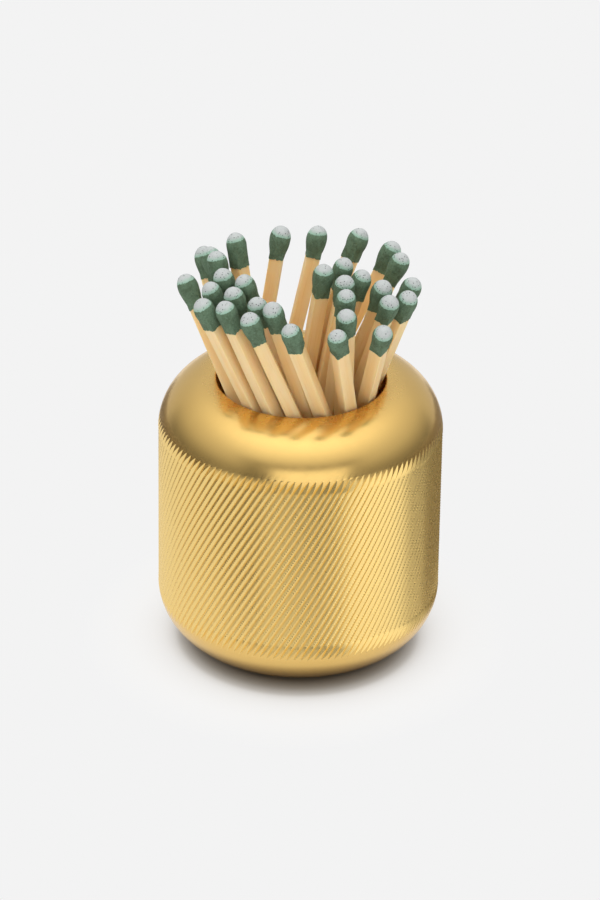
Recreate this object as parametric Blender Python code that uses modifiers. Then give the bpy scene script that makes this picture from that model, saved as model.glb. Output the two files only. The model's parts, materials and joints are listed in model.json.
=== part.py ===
"""Match striker: a turned brass pot with a ridged striking band, and a bunch of matches in its bore.

Run with: blender --background --python part.py

The pot stands on z = 0 around the z axis, and the photograph looks along +Y, so +X is right and
+Y is back. Each match is one body, a square stick with its head. Its origin is the middle of the
stick's lower end and its own z axis runs up the stick, which is the line that it lifts out along.
"""
import math
from itertools import pairwise

import bmesh
import bpy
import numpy as np
from mathutils import Matrix, Vector

MM = 0.001

# Pot
POT_WIDTH = 50.8 * MM
POT_HEIGHT = 51.2 * MM
BORE_WIDTH = 30.2 * MM
BORE_DEPTH = 34.7 * MM
SHOULDER_ARC = 10.0 * MM
LIP_ARC = 0.25 * MM
BASE_WIDTH = 36.1 * MM
LOWER_ARC_HEIGHT = 10.3 * MM
BASE_EDGE = 0.3 * MM

# Striking band, whose ridges run out where the rounded shoulder and lower edge fall below them
RIDGE_COUNT = 128
RIDGE_DEPTH = 0.4 * MM
RIDGE_LEAN = math.radians(30)

# Match
MATCH_LENGTH = 60.0 * MM
STICK_WIDTH = 2.42 * MM
HEAD_WIDTH = 3.85 * MM
HEAD_NECK_WIDTH = 3.5 * MM
HEAD_LENGTH = 6.5 * MM
HEAD_DOME = 2.4 * MM
CAP_LENGTH = 1.6 * MM

# The bunch: clearance that each match keeps to what is near it, also while another is lifted out
CLEARANCE = 0.3 * MM
LIFT_OUT = 50.0 * MM
HEAD_POINT = 1.0 * MM

# Where each head is seen from the front, in mm: right of the pot's axis, and up from the view's middle.
# HEAD_POINT below its tip is the point that is meant. The order goes from the left clump
# over the front and the back to the right clump.
HEAD_SIGHTS = (
    (-17.0, 48.6), (-13.6, 49.8), (-18.8, 47.2), (-15.6, 47.0), (-21.8, 42.6), (-14.6, 43.6),
    (-16.4, 41.4), (-11.2, 42.6), (-18.2, 38.0), (-13.0, 40.0), (-14.2, 38.0), (-8.6, 38.4),
    (-9.8, 36.2), (-6.0, 37.6), (-3.0, 33.4), (-4.2, 51.4), (2.8, 51.8), (10.4, 51.4),
    (4.4, 44.6), (8.0, 45.8), (7.6, 42.6), (8.0, 39.8), (8.0, 36.6), (6.8, 32.4),
    (11.2, 43.4), (14.2, 42.0), (16.4, 49.0), (17.6, 47.2), (16.4, 39.8), (20.0, 39.8),
    (20.4, 42.0), (15.0, 33.6),
)

# The front view that the places are read in: it looks down at a slope, at a point on the pot's axis
VIEW_SLOPE = math.radians(29.93)
VIEW_DISTANCE = 842.0 * MM
VIEW_HEIGHT = 22.3 * MM

# The sheaf is twisted: seen from above, a foot stands this far round from where its stick crosses
# the mouth and this much nearer the axis, for a stick whose upright share is as given
SHEAF_TWIST = math.radians(60)
SHEAF_WAIST = 0.85
SHEAF_SPREAD = 12.5 * MM
SHEAF_UPRIGHT = 0.8
FIRST_TURN_STEP = math.radians(50)

# Settling of the bunch: rounds, how high the heads start, and how hard one is held where it is seen
ROUNDS = 1000
FIRST_HEIGHT = 70.0 * MM
HOLD = 0.1
LEAST_SHIFT = 0.25
PUSH = 0.35
START_SWELL = 0.4
SWELL_END = 0.6
HOLD_END = 0.97
HOLD_FADE = 0.17
LARGEST_STEP = 2.5 * MM
TURN_EVERY = 40
TURN_CHOICES = 8
TURN_NEAR = 4.2 * MM
TURN_RELUCTANCE = 2e-5
HEAD_START = 2.0 * MM
STEEPEST_LEAN = 0.85

# Far below any size here: it keeps a direction defined where two points meet
LEAST_DISTANCE = MATCH_LENGTH * 1e-6

# Fineness of the solids
POT_STEPS = 64
SHOULDER_STEPS = 8
LIP_STEPS = 2
LOWER_STEPS = 6
BAND_ROWS = 8
HEAD_STEPS = 12
DOME_STEPS = 3
NECK_STEPS = 2

POT_RADIUS = POT_WIDTH / 2
BORE_RADIUS = BORE_WIDTH / 2
BORE_FLOOR = POT_HEIGHT - BORE_DEPTH
HEAD_ARM = MATCH_LENGTH - HEAD_POINT
STICK_HALF = STICK_WIDTH / 2

# The lower arc leaves the side at LOWER_ARC_HEIGHT and meets the base at BASE_WIDTH
LOWER_INSET = (POT_WIDTH - BASE_WIDTH) / 2
LOWER_ARC = (LOWER_INSET ** 2 + LOWER_ARC_HEIGHT ** 2) / (2 * LOWER_INSET)

POT_COLLECTION = "match_striker"
BRASS = ((0.708, 0.475, 0.136, 1.0), 0.22, 1.0)
WOOD = ((0.752, 0.546, 0.305, 1.0), 0.75, 0.0)
HEAD_GREEN = ((0.065, 0.122, 0.076, 1.0), 0.6, 0.0)
CAP_GREY = ((0.491, 0.515, 0.527, 1.0), 0.65, 0.0)


def clear_scene():
    """Remove what the opened scene holds, so the model starts alone."""
    for scene_object in list(bpy.data.objects):
        bpy.data.objects.remove(scene_object, do_unlink=True)


def make_material(name, look):
    """Return a Principled material with the given colour, roughness and metallic value."""
    colour, roughness, metallic = look
    material = bpy.data.materials.new(name)
    material.use_nodes = True
    shader = material.node_tree.nodes["Principled BSDF"]
    shader.inputs["Base Color"].default_value = colour
    shader.inputs["Roughness"].default_value = roughness
    shader.inputs["Metallic"].default_value = metallic
    material.diffuse_color = colour
    return material


def arc_points(centre, radius, start, end, steps):
    """Return (radius, height) points on an arc, angles measured from the outward direction."""
    centre_radius, centre_height = centre
    points = []
    for step in range(steps + 1):
        angle = start + (end - start) * step / steps
        points.append((centre_radius + radius * math.cos(angle), centre_height + radius * math.sin(angle)))
    return points


# Pot

def shoulder_arc():
    """Return the shoulder arc's radius, limited by the wall that it rounds."""
    return min(SHOULDER_ARC, POT_RADIUS - BORE_RADIUS - LIP_ARC)


def shoulder_height():
    """Return the height where the straight side meets the shoulder."""
    return POT_HEIGHT - shoulder_arc()


def run_out_angle(radius):
    """Return how far round an arc of this radius the side has fallen by the depth of a ridge."""
    return math.acos(1 - RIDGE_DEPTH / radius)


def smooth_side(height):
    """Return the radius of the turned side, without its ridges, at a height."""
    radius = POT_RADIUS
    above = height - shoulder_height()
    if above > 0:
        radius += math.sqrt(max(shoulder_arc() ** 2 - above ** 2, 0)) - shoulder_arc()
    below = LOWER_ARC_HEIGHT - height
    if below > 0:
        radius += math.sqrt(max(LOWER_ARC ** 2 - below ** 2, 0)) - LOWER_ARC
    return radius


def band_heights():
    """Return the heights of the ridged rows, from the lower run-out to the upper one."""
    lower_reach = LOWER_ARC * math.sin(run_out_angle(LOWER_ARC))
    upper_reach = shoulder_arc() * math.sin(run_out_angle(shoulder_arc()))
    low, high = LOWER_ARC_HEIGHT, shoulder_height()
    straight = [low + (high - low) * row / BAND_ROWS for row in range(BAND_ROWS + 1)]
    return [low - lower_reach, low - lower_reach / 2, *straight, high + upper_reach / 2, high + upper_reach]


def smooth_ring(mesh, radius, height):
    """Add a plain ring of POT_STEPS vertices and return it."""
    ring = []
    for step in range(POT_STEPS):
        angle = math.tau * step / POT_STEPS
        ring.append(mesh.verts.new((radius * math.cos(angle), radius * math.sin(angle), height)))
    return ring


def ridged_ring(mesh, height):
    """Add a ring with a crest and a groove for each ridge, turned by the ridges' lean."""
    turn = height * math.tan(RIDGE_LEAN) / POT_RADIUS
    crest = smooth_side(height)
    groove = min(crest, POT_RADIUS - RIDGE_DEPTH)
    ring = []
    for step in range(2 * RIDGE_COUNT):
        radius = groove if step % 2 else crest
        angle = turn + math.tau * step / (2 * RIDGE_COUNT)
        ring.append(mesh.verts.new((radius * math.cos(angle), radius * math.sin(angle), height)))
    return ring


def join_equal_rings(mesh, lower, upper):
    """Join two rings of as many vertices with quads that face outward, the lower ring first."""
    count = len(lower)
    for step in range(count):
        following = (step + 1) % count
        mesh.faces.new((lower[step], lower[following], upper[following], upper[step]))


def ring_angle(vertex):
    """Return a vertex's angle round the z axis, from 0 to a full turn."""
    return math.atan2(vertex.co.y, vertex.co.x) % math.tau


def join_unlike_rings(mesh, lower, upper):
    """Join two rings of unlike vertex counts with triangles that face outward."""
    lower = sorted(lower, key=ring_angle)
    upper = sorted(upper, key=ring_angle)
    low_step = high_step = 0
    while low_step < len(lower) or high_step < len(upper):
        low, high = lower[low_step % len(lower)], upper[high_step % len(upper)]
        next_low, next_high = lower[(low_step + 1) % len(lower)], upper[(high_step + 1) % len(upper)]
        low_reach = ring_angle(next_low) + math.tau * (low_step + 1 >= len(lower))
        high_reach = ring_angle(next_high) + math.tau * (high_step + 1 >= len(upper))
        if high_step >= len(upper) or (low_step < len(lower) and low_reach < high_reach):
            mesh.faces.new((low, next_low, high))
            low_step += 1
        else:
            mesh.faces.new((low, next_high, high))
            high_step += 1


def build_pot(collection):
    """Build the pot as a loft of rings: smooth where it is polished, ridged on the band."""
    mesh = bmesh.new()
    lower_end = -math.asin(LOWER_ARC_HEIGHT / LOWER_ARC)
    lower = arc_points(
        (POT_RADIUS - LOWER_ARC, LOWER_ARC_HEIGHT), LOWER_ARC,
        lower_end, -run_out_angle(LOWER_ARC), LOWER_STEPS)
    foot_radius = lower[0][0] - BASE_EDGE
    outside = [(foot_radius, 0.0), (lower[0][0], lower[0][1] + BASE_EDGE), *lower[1:-1]]
    outer_rings = [smooth_ring(mesh, radius, height) for radius, height in outside]
    band = [ridged_ring(mesh, height) for height in band_heights()]

    shoulder = arc_points(
        (POT_RADIUS - shoulder_arc(), shoulder_height()), shoulder_arc(),
        run_out_angle(shoulder_arc()), math.pi / 2, SHOULDER_STEPS)
    lip = arc_points(
        (BORE_RADIUS + LIP_ARC, POT_HEIGHT - LIP_ARC), LIP_ARC, math.pi / 2, math.pi, LIP_STEPS)
    inside = [*shoulder[1:], *lip, (BORE_RADIUS, BORE_FLOOR)]
    inner_rings = [smooth_ring(mesh, radius, height) for radius, height in inside]

    mesh.faces.new(list(reversed(outer_rings[0])))
    for lower_ring, upper_ring in pairwise(outer_rings):
        join_equal_rings(mesh, lower_ring, upper_ring)
    join_unlike_rings(mesh, outer_rings[-1], band[0])
    for lower_ring, upper_ring in pairwise(band):
        join_equal_rings(mesh, lower_ring, upper_ring)
    join_unlike_rings(mesh, band[-1], inner_rings[0])
    for lower_ring, upper_ring in pairwise(inner_rings):
        join_equal_rings(mesh, lower_ring, upper_ring)
    mesh.faces.new(inner_rings[-1])

    data = bpy.data.meshes.new("striker_pot")
    mesh.to_mesh(data)
    mesh.free()
    data.shade_smooth()
    data.set_sharp_from_angle(angle=math.radians(40))
    data.materials.append(make_material("brass", BRASS))
    pot = bpy.data.objects.new("striker_pot", data)
    collection.objects.link(pot)
    return pot


# Match

def head_profile():
    """Return the head's half outline from its tip down to its neck, as (radius, height) points."""
    widest = HEAD_WIDTH / 2
    neck = HEAD_NECK_WIDTH / 2
    points = []
    for step in range(DOME_STEPS + 1):
        angle = math.pi / 2 * step / DOME_STEPS
        points.append((widest * math.sin(angle), MATCH_LENGTH - HEAD_DOME * (1 - math.cos(angle))))
    taper = HEAD_LENGTH - HEAD_DOME
    for step in range(1, NECK_STEPS + 1):
        share = step / NECK_STEPS
        radius = neck + (widest - neck) * math.cos(math.pi / 2 * share)
        points.append((radius, MATCH_LENGTH - HEAD_DOME - taper * share))
    points.append((0.0, MATCH_LENGTH - HEAD_LENGTH))
    return points


def turned_object(name, profile, steps, collection):
    """Return an object whose (radius, height) profile is turned round z by a Screw modifier."""
    mesh = bmesh.new()
    line = [mesh.verts.new((radius, 0.0, height)) for radius, height in profile]
    for upper, lower in pairwise(line):
        mesh.edges.new((upper, lower))
    data = bpy.data.meshes.new(name)
    mesh.to_mesh(data)
    mesh.free()
    turned = bpy.data.objects.new(name, data)
    collection.objects.link(turned)
    screw = turned.modifiers.new("turn", "SCREW")
    screw.steps = steps
    screw.render_steps = steps
    screw.use_merge_vertices = True
    screw.merge_threshold = CLEARANCE / 30
    screw.use_smooth_shade = True
    return turned


def build_match_mesh(collection):
    """Return the mesh that all matches share: a square stick joined to its turned head."""
    head = turned_object("head_form", head_profile(), HEAD_STEPS, collection)
    head.rotation_euler.z = math.pi / HEAD_STEPS

    stick_length = MATCH_LENGTH - HEAD_DOME
    mesh = bmesh.new()
    bmesh.ops.create_cube(mesh, size=1.0)
    bmesh.ops.scale(mesh, vec=(STICK_WIDTH, STICK_WIDTH, stick_length), verts=mesh.verts)
    bmesh.ops.translate(mesh, vec=(0.0, 0.0, stick_length / 2), verts=mesh.verts)
    data = bpy.data.meshes.new("stick_form")
    mesh.to_mesh(data)
    mesh.free()
    stick = bpy.data.objects.new("stick_form", data)
    collection.objects.link(stick)
    union = stick.modifiers.new("dipped_head", "BOOLEAN")
    union.operation = "UNION"
    union.solver = "EXACT"
    union.object = head

    bpy.context.view_layer.update()
    evaluated = stick.evaluated_get(bpy.context.evaluated_depsgraph_get())
    match_mesh = bpy.data.meshes.new_from_object(evaluated)
    match_mesh.name = "match"
    bpy.data.objects.remove(stick, do_unlink=True)
    bpy.data.objects.remove(head, do_unlink=True)

    match_mesh.materials.clear()
    for name, look in (("match_wood", WOOD), ("head_green", HEAD_GREEN), ("cap_grey", CAP_GREY)):
        match_mesh.materials.append(make_material(name, look))
    for face in match_mesh.polygons:
        below_tip = MATCH_LENGTH - face.center.z
        if below_tip < CAP_LENGTH:
            face.material_index = 2
        elif below_tip < HEAD_LENGTH + CLEARANCE:
            face.material_index = 1
        else:
            face.material_index = 0
    match_mesh.shade_smooth()
    match_mesh.set_sharp_from_angle(angle=math.radians(50))
    return match_mesh


# Bunch: every match is a line from its foot, with a square section, and arrays hold all of them

def face_normals(ways, turns):
    """Return the two face normals of each stick, turned about the stick from the level one."""
    level = np.cross([0.0, 0.0, 1.0], ways)
    length = np.linalg.norm(level, axis=1, keepdims=True)
    level = np.where(length > 1e-6, level / np.maximum(length, 1e-6), [1.0, 0.0, 0.0])
    rising = np.cross(ways, level)
    cosine, sine = np.cos(turns)[:, None], np.sin(turns)[:, None]
    return cosine * level + sine * rising, cosine * rising - sine * level


def stand(feet, heads, turns):
    """Stand each match on the bore's floor, its head point over its place seen from above."""
    plan = (heads - feet) / HEAD_ARM
    sine = np.minimum(np.linalg.norm(plan, axis=1), STEEPEST_LEAN)
    ways = np.column_stack([plan, np.sqrt(1 - sine ** 2)])
    ways /= np.linalg.norm(ways, axis=1, keepdims=True)
    corner_drop = STICK_HALF * sine * (abs(np.sin(turns)) + abs(np.cos(turns)))
    return np.column_stack([feet, BORE_FLOOR + corner_drop + CLEARANCE]), ways


def all_pairs(count):
    """Return the pairs of matches, and the stretch of each of the two matches that is meant.

    A pair is there four times: as it stands, with the head of either one on its way out, and with
    both heads on their way out.
    """
    first, second = np.triu_indices(count, 1)
    standing = np.tile([0.0, MATCH_LENGTH], (len(first), 1))
    leaving = np.tile([MATCH_LENGTH - HEAD_LENGTH, MATCH_LENGTH + LIFT_OUT], (len(first), 1))
    return (
        np.concatenate([first, first, second, first]),
        np.concatenate([second, second, first, second]),
        np.concatenate([standing, leaving, leaving, leaving]),
        np.concatenate([standing, standing, standing, leaving]),
    )


def nearest_points(bases, ways, pairs):
    """Return the direction and distance between the nearest points of each pair, and their places."""
    first, second, first_reach, second_reach = pairs
    offset = bases[first] - bases[second]
    cosine = (ways[first] * ways[second]).sum(1)
    first_part = (ways[first] * offset).sum(1)
    second_part = (ways[second] * offset).sum(1)
    along = np.clip((cosine * second_part - first_part) / (1 - cosine ** 2 + 1e-9), *first_reach.T)
    across = np.clip(cosine * along + second_part, *second_reach.T)
    along = np.clip(cosine * across - first_part, *first_reach.T)
    across = np.clip(cosine * along + second_part, *second_reach.T)
    apart = offset + along[:, None] * ways[first] - across[:, None] * ways[second]
    distance = np.sqrt((apart ** 2).sum(1) + LEAST_DISTANCE ** 2)
    return apart / distance[:, None], distance, along, across


def half_width(direction, one, other, along):
    """Return how far a match reaches in a direction at a place along it, stick or head."""
    square = STICK_HALF * (abs((direction * one).sum(1)) + abs((direction * other).sum(1)))
    share = np.clip((along - (MATCH_LENGTH - HEAD_LENGTH - HEAD_START)) / HEAD_START, 0, 1)
    return np.maximum(square, square * (1 - share) + HEAD_WIDTH / 2 * share)


def find_overlaps(bases, ways, turns, pairs, swell):
    """Return each pair's direction, its overlap, and where along both matches it is."""
    first, second = pairs[:2]
    one, other = face_normals(ways, turns)
    direction, distance, along, across = nearest_points(bases, ways, pairs)
    need = half_width(direction, one[first], other[first], along) + CLEARANCE
    need += half_width(direction, one[second], other[second], across)
    overlap = need * swell - distance
    return direction, overlap, along / HEAD_ARM, across / HEAD_ARM


def lever(place):
    """Return what divides a push at a place along a match between its foot and its head."""
    return (1 - place) ** 2 + place ** 2


def push_apart(feet, heads, turns, pairs, swell):
    """Push the foot and head of each overlapping pair apart, level with the ground."""
    bases, ways = stand(feet, heads, turns)
    direction, overlap, along, across = find_overlaps(bases, ways, turns, pairs, swell)
    hit = overlap > 0
    first, second = pairs[0][hit], pairs[1][hit]
    along, across = along[hit][:, None], across[hit][:, None]
    level = np.linalg.norm(direction[hit][:, :2], axis=1)[:, None] + 0.05
    push = PUSH * direction[hit][:, :2] / level * overlap[hit][:, None] / np.maximum(level, 0.5)
    foot_move, head_move = np.zeros_like(feet), np.zeros_like(heads)
    np.add.at(foot_move, first, push * (1 - along) / lever(along))
    np.add.at(head_move, first, push * along / lever(along))
    np.add.at(foot_move, second, -push * (1 - across) / lever(across))
    np.add.at(head_move, second, -push * across / lever(across))
    feet += np.clip(foot_move, -LARGEST_STEP, LARGEST_STEP)
    heads += np.clip(head_move, -LARGEST_STEP, LARGEST_STEP)


def wall_share(points, ways, turns):
    """Return how far each point must be drawn to the axis for its stick to clear the bore."""
    one, other = face_normals(ways, turns)
    radius = np.linalg.norm(points, axis=1) + LEAST_DISTANCE
    outward = np.column_stack([points / radius[:, None], np.zeros(len(points))])
    lean = (ways * outward).sum(1) / ways[:, 2]
    reach = abs((one * outward).sum(1) - one[:, 2] * lean) + abs((other * outward).sum(1) - other[:, 2] * lean)
    limit = BORE_RADIUS - STICK_HALF * reach - CLEARANCE
    return np.minimum(1, limit / radius)[:, None]


def keep_in_bore(feet, heads, turns):
    """Move the matches off the bore's wall, at the foot and at the mouth."""
    bases, ways = stand(feet, heads, turns)
    feet *= wall_share(feet, ways, turns)
    along = (POT_HEIGHT - bases[:, 2]) / ways[:, 2]
    mouth = (bases + ways * along[:, None])[:, :2]
    back = mouth * (wall_share(mouth, ways, turns) - 1)
    place = (along / HEAD_ARM)[:, None]
    feet += back * (1 - place) / lever(place)
    heads += back * place / lever(place)


def turn_sticks(feet, heads, turns, pairs, turning):
    """Turn the chosen sticks about themselves to where they touch their neighbours least."""
    bases, ways = stand(feet, heads, turns)
    standing = [part[:math.comb(len(turns), 2)] for part in pairs]
    first, second, first_reach, second_reach = (
        np.concatenate(both) for both in zip(standing, [standing[1], standing[0], *standing[2:]]))
    direction, distance, along, across = nearest_points(
        bases, ways, (first, second, first_reach, second_reach))
    near = distance < TURN_NEAR
    first, second, direction, distance = first[near], second[near], direction[near], distance[near]
    along, across = along[near], across[near]
    one, other = face_normals(ways, turns)
    facing = half_width(direction, one[second], other[second], across) + CLEARANCE
    least = np.full(len(turns), np.inf)
    chosen = turns.copy()
    for choice in range(TURN_CHOICES):
        trial = turns + choice * math.pi / 2 / TURN_CHOICES
        one, other = face_normals(ways, trial)
        overlap = half_width(direction, one[first], other[first], along) + facing - distance
        cost = np.bincount(first, (np.maximum(overlap, 0) / STICK_WIDTH) ** 2, minlength=len(turns))
        cost += TURN_RELUCTANCE * (choice > 0)
        better = cost < least
        least[better] = cost[better]
        chosen[better] = trial[better]
    return np.where(turning, np.mod(chosen, math.pi / 2), turns)


def twisted_feet(heads):
    """Return the feet of a twisted sheaf whose heads stand at the given places."""
    rise = HEAD_ARM * SHEAF_UPRIGHT / BORE_DEPTH - 1
    twist = SHEAF_WAIST * np.exp(1j * SHEAF_TWIST)
    head_plan = heads[:, 0] + 1j * heads[:, 1]
    foot_plan = twist * head_plan / (1 + rise - rise * twist)
    feet = np.column_stack([foot_plan.real, foot_plan.imag])
    radius = np.linalg.norm(feet, axis=1, keepdims=True)
    return feet * np.minimum(1, SHEAF_SPREAD / radius)


def seen_from_front(points):
    """Return how far right and how far up each point is seen in the front view."""
    rise = points[:, 2] - VIEW_HEIGHT
    nearness = rise * math.sin(VIEW_SLOPE) - points[:, 1] * math.cos(VIEW_SLOPE)
    up = rise * math.cos(VIEW_SLOPE) + points[:, 1] * math.sin(VIEW_SLOPE)
    return np.column_stack([points[:, 0], up]) * (VIEW_DISTANCE / (VIEW_DISTANCE - nearness))[:, None]


def first_heads(sights):
    """Return where heads of one height stand in plan when they are seen at the given places."""
    up = (FIRST_HEIGHT - VIEW_HEIGHT) * math.cos(VIEW_SLOPE)
    return np.column_stack([sights[:, 0], (sights[:, 1] - up) / math.sin(VIEW_SLOPE)])


def draw_to_sights(feet, heads, turns, sights, hold):
    """Draw each head to where it is seen, allowing for its sinking as its match leans over."""
    bases, ways = stand(feet, heads, turns)
    right, up = (sights - seen_from_front(bases + ways * HEAD_ARM)).T
    lean = ways[:, :2] / ways[:, 2:]
    up += math.cos(VIEW_SLOPE) * lean[:, 0] * right
    back = up / np.maximum(math.sin(VIEW_SLOPE) - math.cos(VIEW_SLOPE) * lean[:, 1], LEAST_SHIFT)
    heads += hold * np.clip(np.column_stack([right, back]), -LARGEST_STEP, LARGEST_STEP)


def settle_bunch():
    """Return the foot point, direction and turn of each match, clear of all the others."""
    sights = np.array(HEAD_SIGHTS) * MM
    heads = first_heads(sights)
    feet = twisted_feet(heads)
    count = len(sights)
    turns = np.mod(np.arange(count) * FIRST_TURN_STEP, math.pi / 2)
    pairs = all_pairs(count)
    for settling_round in range(ROUNDS):
        part = settling_round / ROUNDS
        swell = min(1.0, START_SWELL + (1 - START_SWELL) * part / SWELL_END)
        hold = HOLD * min(1.0, max(0.0, (HOLD_END - part) / HOLD_FADE))
        draw_to_sights(feet, heads, turns, sights, hold)
        push_apart(feet, heads, turns, pairs, swell)
        keep_in_bore(feet, heads, turns)
        if settling_round % TURN_EVERY == 0 and part < HOLD_END - HOLD_FADE:
            turning = np.arange(count) % 2 == settling_round // TURN_EVERY % 2
            turns = turn_sticks(feet, heads, turns, pairs, turning)
    bases, ways = stand(feet, heads, turns)
    return bases, ways, turns


def build_matches(collection):
    """Build the matches, each standing in the bore along its own line."""
    match_mesh = build_match_mesh(collection)
    bases, ways, turns = settle_bunch()
    one, other = face_normals(ways, turns)
    for number, base in enumerate(bases):
        match = bpy.data.objects.new(f"match_{number + 1:02d}", match_mesh)
        collection.objects.link(match)
        axes = Matrix((one[number], other[number], ways[number])).transposed()
        match.matrix_world = Matrix.Translation(Vector(base)) @ axes.to_4x4()


def main():
    """Build the whole object."""
    clear_scene()
    collection = bpy.data.collections.new(POT_COLLECTION)
    bpy.context.scene.collection.children.link(collection)
    build_pot(collection)
    build_matches(collection)


main()
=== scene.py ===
"""Looks of the brass match striker: a turned pot with a ridged band and a twisted bunch of matches.

Lengths are in metres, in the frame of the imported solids: +Z is up, +X is right and +Y is back.
"""
from __future__ import annotations

import json
import logging
import math
from dataclasses import dataclass, field
from enum import Enum
from random import Random
from typing import Sequence

import bmesh
import bpy
from mathutils import Matrix, Vector, noise


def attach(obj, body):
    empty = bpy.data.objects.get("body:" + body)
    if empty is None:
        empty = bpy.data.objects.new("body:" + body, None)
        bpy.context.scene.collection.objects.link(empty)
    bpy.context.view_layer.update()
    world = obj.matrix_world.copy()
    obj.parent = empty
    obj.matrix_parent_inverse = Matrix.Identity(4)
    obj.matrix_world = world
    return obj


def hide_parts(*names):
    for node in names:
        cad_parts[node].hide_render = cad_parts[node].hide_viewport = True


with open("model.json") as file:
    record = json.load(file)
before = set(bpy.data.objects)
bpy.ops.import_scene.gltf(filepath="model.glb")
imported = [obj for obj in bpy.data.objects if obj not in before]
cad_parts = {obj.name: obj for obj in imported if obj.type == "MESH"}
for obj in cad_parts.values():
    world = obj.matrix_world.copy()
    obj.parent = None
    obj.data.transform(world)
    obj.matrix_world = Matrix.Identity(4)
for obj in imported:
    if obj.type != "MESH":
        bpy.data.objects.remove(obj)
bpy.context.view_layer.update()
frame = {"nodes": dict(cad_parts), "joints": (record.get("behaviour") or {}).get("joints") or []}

LOG = logging.getLogger("match_striker")
MM = 0.001
TINY = 0.001 * MM
DISPLAY_TOP = 255
DARK_LIMIT, DARK_SLOPE = 0.04045, 12.92
CURVE_OFFSET, CURVE_POWER = 0.055, 2.4
Colour = tuple[float, float, float]
Pair = tuple[float, float]


def linear(red: int, green: int, blue: int) -> Colour:
    """Turn a display colour into the linear values that shaders take.

    Args:
        red: Display red, 0 to 255.
        green: Display green, 0 to 255.
        blue: Display blue, 0 to 255.

    Returns:
        The three linear values, 0 to 1.
    """
    def channel(value: int) -> float:
        """Turn one display channel into its linear value."""
        share = value / DISPLAY_TOP
        if share <= DARK_LIMIT:
            return share / DARK_SLOPE
        return ((share + CURVE_OFFSET) / (1 + CURVE_OFFSET)) ** CURVE_POWER
    return channel(red), channel(green), channel(blue)


def between(start: float, end: float, steps: int) -> list[float]:
    """Return evenly spaced values.

    Args:
        start: The first value.
        end: The last value.
        steps: How many steps lie between them.

    Returns:
        The values, with both ends.
    """
    return [start + (end - start) * step / steps for step in range(steps + 1)]


@dataclass(frozen=True)
class Ramp:
    """How a value is mapped: low gives start, high gives end, and the way between may be eased."""

    low: float
    high: float
    start: float = 0.0
    end: float = 1.0
    eased: bool = True


@dataclass(frozen=True)
class Grain:
    """A noise: its features for each unit along x, y and z, its octaves and how strong those are."""

    scale: tuple[float, float, float]
    octaves: float = 2.0
    roughness: float = 0.5


@dataclass(frozen=True)
class Relief:
    """A bump: how deep a full step is, in metres, and how strongly it shows."""

    depth: float
    strength: float = 1.0


class MixKind(Enum):
    """What a Mix node mixes, with the numbers of its two inputs and its output for that kind."""

    FLOAT = (2, 3, 0)
    RGBA = (6, 7, 2)


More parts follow.
